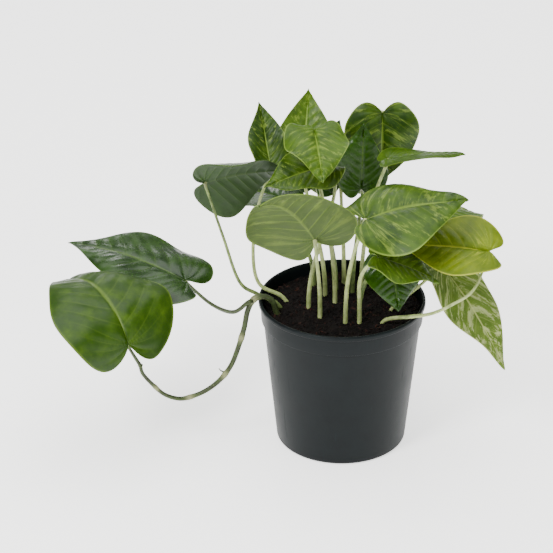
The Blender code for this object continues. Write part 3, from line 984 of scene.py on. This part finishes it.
# What a stem's tree is given where a stem doesn't say otherwise: no channel, no joint and no nodes.
PLAIN_STEM = {"Groove": 0.0, "Joint Length": 1 * MM, "Joint Swell": 0.0, "Node Spacing": 1.0,
              "Node Swell": 0.0}

# A node's half length as a share of the stem's radius. The upper side of a stem's section is pressed in to
# make its channel: by nothing up to a little over half its height, and then more and more to its top.
NODE_LENGTH = 1.3
CHANNEL_SLOPE = 2.2
CHANNEL_START = -1.2


def stem_tree():
    """A stem along a curve: tapered, swollen at its nodes or its end, with a channelled section."""
    sizes = ("Radius", "Taper", *PLAIN_STEM)
    tree, given = geometry_tree("stem", (
        *((name, "Float") for name in sizes), ("Points", "Int"), ("Sides", "Int"), ("Material", "Material")))

    def bump(distance, reach):
        """1 at no distance, falling smoothly to nothing beyond the reach."""
        share = sums("DIVIDE", distance, reach)
        return sums("EXPONENT", times(times(share, share), -1.0))

    def shown(swelling, size):
        """A swelling where its size is over 0."""
        return times(swelling, sums("GREATER_THAN", size, 0.0))

    def keep(geometry, name, value):
        """Store a value on the geometry under a name that the stem's finish reads."""
        return node("GeometryNodeStoreNamedAttribute", "Geometry", {
            "Geometry": geometry, "Name": name, "Value": value}, data_type="FLOAT", domain="POINT")

    even = node("GeometryNodeResampleCurve", "Curve", {
        "Curve": given["Geometry"], "Count": given["Points"]})
    place = tree.nodes.new("GeometryNodeSplineParameter").outputs
    total = sums("DIVIDE", place["Length"], sums("MAXIMUM", place["Factor"], TINY))
    joint = bump(sums("SUBTRACT", total, place["Length"]), given["Joint Length"])
    to_node = sums("PINGPONG", place["Length"], times(given["Node Spacing"], 0.5))
    swell = bump(to_node, times(given["Radius"], NODE_LENGTH))
    taper = sums("MULTIPLY_ADD", place["Factor"], sums("SUBTRACT", given["Taper"], 1.0), 1.0)
    thicker = sums("MULTIPLY_ADD", joint, given["Joint Swell"],
                    sums("MULTIPLY_ADD", swell, given["Node Swell"], 1.0))
    radius = times(times(given["Radius"], taper), thicker)
    swollen = sums("MAXIMUM", shown(joint, given["Joint Swell"]), shown(swell, given["Node Swell"]))
    route = keep(keep(even, "along", place["Length"]), "swollen", swollen)
    circle = node("GeometryNodeCurvePrimitiveCircle", "Curve", {
        "Radius": 1, "Resolution": given["Sides"]})
    split = tree.nodes.new("ShaderNodeSeparateXYZ")
    feed(split.inputs["Vector"], node("GeometryNodeInputPosition", "Position", {}, tree))
    top = sums("MAXIMUM", sums("MULTIPLY_ADD", split.outputs["Y"], CHANNEL_SLOPE, CHANNEL_START), 0.0)
    press = times(times(top, given["Groove"]), -1.0)
    section = node("GeometryNodeSetPosition", "Geometry", {
        "Geometry": keep(circle, "around", split.outputs["X"]), "Offset": joined(0.0, press, 0.0)})
    swept = node("GeometryNodeCurveToMesh", "Mesh", {
        "Curve": route, "Profile Curve": section, "Scale": radius, "Fill Caps": True})
    smooth = node("GeometryNodeSetShadeSmooth", "Geometry", {"Geometry": swept})
    return end_tree(tree, smooth, given["Material"])


def stem_mesh(name, route, values):
    """The mesh of one stem along its route, closed at both ends."""
    curve = bpy.data.curves.new(name, "CURVE")
    curve.dimensions = "3D"
    spline = curve.splines.new("POLY")
    spline.points.add(len(route) - 1)
    for point, place in zip(spline.points, route):
        point.co = (*place, 1)
    path = working_object(f"{name}_path", curve)
    give_nodes(path, bpy.data.node_groups.get("stem") or stem_tree(), {**PLAIN_STEM, **values})
    mesh = settled(path, name)
    form = bmesh.new()
    form.from_mesh(mesh)
    bmesh.ops.remove_doubles(form, verts=form.verts, dist=TINY)
    form.to_mesh(mesh)
    form.free()
    mesh.set_sharp_from_angle(angle=radians(60))
    return mesh


class POTHOS_OT_vine(bpy.types.Operator):
    """Make the trailing vine, with its swollen nodes and one short aerial root"""

    bl_idname = "pothos.vine"
    bl_label = "Trailing Vine"

    def execute(self, context):
        stem = context.scene.pothos_stem
        skin = stem_skin("vine_skin", stem.vine, stem.vine_dark, stem.pale, swollen_amount=0.45)
        mesh = stem_mesh("vine_stem", vine_route(VINE_STEPS), {
            "Radius": stem.vine_radius, "Taper": stem.vine_taper, "Groove": 0.12,
            "Node Spacing": stem.node_spacing, "Node Swell": stem.node_swell, "Points": VINE_STEPS,
            "Sides": 20, "Material": skin})
        nub = stem_mesh("root_nub", self.nub_route(), {
            "Radius": stem.nub_radius, "Taper": 0.35, "Points": 16, "Sides": 12, "Material": skin})
        form = bmesh.new()
        form.from_mesh(mesh)
        form.from_mesh(nub)
        form.to_mesh(mesh)
        form.free()
        add_piece("vine_stem", mesh, "vine")
        return {"FINISHED"}

    def nub_route(self):
        """The short aerial root that stands off the vine's lower bend."""
        near = in_pot(NUB_PLACE)
        way = vine_route(VINE_STEPS)
        number = min(range(2, len(way) - 2), key=lambda index: (way[index] - near).length)
        along = (way[number + 1] - way[number]).normalized()
        out = Vector((0, 1, 0)).cross(along).normalized()
        out *= copysign(1, out.z)
        return [way[number] + (out * lift + along * ahead) * PLANT_UNIT for lift, ahead in NUB_STEPS]


class POTHOS_OT_stalks(bpy.types.Operator):
    """Make the leaf stalks, each with its channel and the swollen joint under its blade"""

    bl_idname = "pothos.stalks"
    bl_label = "Leaf Stalks"

    def execute(self, context):
        stem = context.scene.pothos_stem
        light = stem_skin("stalk_skin", stem.stalk, stem.stalk_dark, stem.pale, swollen_amount=0.55)
        # The darker stalk skin is painted shade: the stalks of the deep green leaves get a darker copy of
        # the stalk's finish, which stands for the shade that they lie in.
        deep = stem_skin("deep_stalk_skin", stem.stalk_dark, stem.vine, stem.pale, swollen_amount=0.45)
        trailing = stem_skin("trailing_stalk_skin", stem.vine, stem.vine_dark, stem.stalk_dark,
                             swollen_amount=0.45)
        for leaf in LEAVES:
            # Stalks of deep green leaves take the painted-shade skin.
            skin = deep if leaf.paint == "deep_green" else light
            if len(leaf.root) == 3:
                skin = trailing
            mesh = stem_mesh(f"petiole_{leaf.name}", stalk_route(leaf, STALK_STEPS), {
                "Radius": stem.stalk_radius, "Taper": stem.stalk_taper, "Groove": stem.groove,
                "Joint Length": stem.joint_length, "Joint Swell": stem.joint_swell, "Points": 90,
                "Sides": 18, "Material": skin})
            add_piece(mesh.name, mesh, f"stalk_{leaf.name}")
        return {"FINISHED"}


# ------------ the blades


def vein_count(leaf, blades, x, y):
    """How many side veins lie between a point and the blade's base; below 0, veins fan into the lobe."""
    length, width = blade_size(leaf)
    along, out = x / length, y / width
    lead = along - VEIN_SLANT * out - VEIN_BOW * out ** 2
    if lead >= 0:
        return blades.veins * lead
    reach = hypot(along, out * width / length)
    return FAN_VEINS * lead / max(reach, LEAST_REACH)


def blade_relief(blades, side, share, x, y, veins, number):
    """How far a point stands off the blade's bent sheet."""
    across = abs(side)
    to_vein = abs((veins + 0.5) % 1 - 0.5)
    puffed = 1 - exp(-(to_vein / VEIN_PINCH) ** 2)
    quilt = blades.quilt * puffed * min(1, QUILT_RISE * across) * (1 - across ** QUILT_FADE)
    rib = -blades.midrib * exp(-(y / blades.midrib_width) ** 2) * (1 - RIB_FADE * share)
    waves = WAVES + WAVES_VARY * sin(number * WAVES_STEP)
    phase = number * PHASE_STEP + (side > 0) * PHASE_SIDE
    wave = blades.wave * across ** 3 * sin(tau * waves * share + phase)
    wave *= sin(pi * share) ** 0.5
    place = Vector((x * RIPPLES, copysign(y, side) * RIPPLES, number * RIPPLE_STEP))
    ripple = blades.ripple * noise.noise(place) * min(1, RIPPLE_RISE * across + RIPPLE_LEAST)
    return quilt + rib + wave + ripple


class POTHOS_OT_blades(bpy.types.Operator):
    """Make the leaf blades, each bent to its own shape, with veins, marbling and a wavy edge"""

    bl_idname = "pothos.blades"
    bl_label = "Leaf Blades"

    def execute(self, context):
        blades = context.scene.pothos_blade
        skins = {}
        for paint, tones in PAINTS.items():
            skins[paint] = (leaf_skin(f"leaf_{paint}", tones, False),
                            leaf_skin(f"leaf_{paint}_underside", tones, True))
        for number, leaf in enumerate(LEAVES):
            mesh = self.sheet(leaf, blades, number)
            sheet = working_object(f"{leaf.name}_sheet", mesh)
            for skin in skins[leaf.paint]:
                mesh.materials.append(skin)
            solid = sheet.modifiers.new("Thickness", "SOLIDIFY")
            solid.thickness = blades.thickness
            solid.offset = 0
            solid.material_offset = 1
            finished = settled(sheet, f"blade_{leaf.name}")
            finished.shade_smooth()
            finished.set_sharp_from_angle(angle=radians(50))
            add_piece(finished.name, finished, f"leaf_{leaf.name}")
        return {"FINISHED"}

    def sheet(self, leaf, blades, number):
        """The blade's middle surface, with the values that its skin reads stored on its points."""
        form = bmesh.new()
        bmesh.ops.create_grid(form, x_segments=blades.rows, y_segments=blades.columns, size=1)
        store = form.verts.layers
        vein, across, tone = (store.float.new(name) for name in ("vein", "across", "tone"))
        flat = store.float_vector.new("flat")
        relief = store.float.new("relief")
        map_layer = form.loops.layers.uv.new("UVMap")
        place = blade_frame(leaf)
        length, width = blade_size(leaf)
        for vert in form.verts:
            side, share = vert.co.y, (vert.co.x + 1) / 2
            x, y = flat_point(leaf, side, share)
            vert[vein] = vein_count(leaf, blades, x, y)
            vert[across] = abs(side)
            vert[tone] = (number * TONE_STEP) % 1
            vert[flat] = Vector((x, copysign(y, side), number * FLAT_STEP))
            vert[relief] = blade_relief(blades, side, share, x, y, vert[vein], number)
            vert.co = place @ bent_point(leaf, side, x, y)
        for face in form.faces:
            for loop in face.loops:
                where = loop.vert[flat]
                loop[map_layer].uv = (MAP_START + MAP_LENGTH * where.x / length, 0.5 + where.y / width)
        bmesh.ops.remove_doubles(form, verts=form.verts, dist=TINY)
        form.normal_update()
        moved = [vert.co + vert.normal * vert[relief] for vert in form.verts]
        for vert, co in zip(form.verts, moved):
            vert.co = co
        store.float.remove(relief)
        return made_mesh(form, f"blade_{leaf.name}")


# ------------ the stage


class POTHOS_OT_stage(bpy.types.Operator):
    """Make the plain floor, the soft studio lights and the camera"""

    bl_idname = "pothos.stage"
    bl_label = "Stage"

    def execute(self, context):
        stage = context.scene.pothos_stage
        form = bmesh.new()
        bmesh.ops.create_grid(form, x_segments=1, y_segments=1, size=stage.floor_size / 2)
        mesh = made_mesh(form, "studio_floor")
        mesh.materials.append(floor_paint(stage))
        floor = working_object("studio_floor", mesh)
        for light in LIGHTS:
            self.light(light)
        self.sky(context, stage)
        self.camera(context, stage)
        return {"FINISHED"}

    def light(self, light):
        """A large soft square light aimed at the plant."""
        data = bpy.data.lights.new(light.name, "AREA")
        data.shape = "SQUARE"
        data.size = light.size
        data.energy = light.power
        lamp = working_object(light.name, data)
        lamp.location = light.place
        aim = Vector(LIGHT_AIM) - Vector(light.place)
        lamp.rotation_euler = aim.to_track_quat("-Z", "Y").to_euler()

    def sky(self, context, stage):
        """White light from all round."""
        world = bpy.data.worlds.new("studio_sky")
        world.use_nodes = True
        background = world.node_tree.nodes["Background"]
        background.inputs["Color"].default_value = (1, 1, 1, 1)
        background.inputs["Strength"].default_value = stage.sky
        context.scene.world = world

    def camera(self, context, stage):
        """A long lens, so that the plant is seen almost without perspective."""
        data = bpy.data.cameras.new("studio_camera")
        data.sensor_width = 36
        data.lens = data.sensor_width * stage.distance / stage.width
        data.clip_end = 50
        camera = working_object("studio_camera", data)
        back = Vector((0, -cos(stage.elevation), sin(stage.elevation)))
        camera.location = Vector(stage.aim) + back * stage.distance
        camera.rotation_euler = (pi / 2 - stage.elevation, 0, 0)
        context.scene.camera = camera


# ------------ the add-on


class POTHOS_PT_panel(bpy.types.Panel):
    """Sizes, colours and buttons for the potted pothos"""

    bl_idname = "POTHOS_PT_panel"
    bl_label = "Potted Pothos"
    bl_space_type = "VIEW_3D"
    bl_region_type = "UI"
    bl_category = "Pothos"

    def draw(self, context):
        for name, group, operators in GROUPS:
            box = self.layout.box()
            settings = getattr(context.scene, name)
            for setting in group.__annotations__:
                box.prop(settings, setting)
            for operator in operators:
                box.operator(operator.bl_idname)


GROUPS = (
    ("pothos_pot", PotSizes, (POTHOS_OT_pot,)),
    ("pothos_soil", SoilSizes, (POTHOS_OT_soil,)),
    ("pothos_stem", StemSizes, (POTHOS_OT_vine, POTHOS_OT_stalks)),
    ("pothos_blade", BladeSizes, (POTHOS_OT_blades,)),
    ("pothos_stage", StageSettings, (POTHOS_OT_stage,)),
)


def register():
    for name, group, operators in GROUPS:
        bpy.utils.register_class(group)
        setattr(bpy.types.Scene, name, PointerProperty(type=group))
        for operator in operators:
            bpy.utils.register_class(operator)
    bpy.utils.register_class(POTHOS_PT_panel)


def unregister():
    bpy.utils.unregister_class(POTHOS_PT_panel)
    for name, group, operators in reversed(GROUPS):
        for operator in reversed(operators):
            bpy.utils.unregister_class(operator)
        delattr(bpy.types.Scene, name)
        bpy.utils.unregister_class(group)


def main():
    register()
    bpy.ops.pothos.stage()
    bpy.ops.pothos.pot()
    bpy.ops.pothos.soil()
    bpy.ops.pothos.vine()
    bpy.ops.pothos.stalks()
    bpy.ops.pothos.blades()


if __name__ == "__main__":
    main()
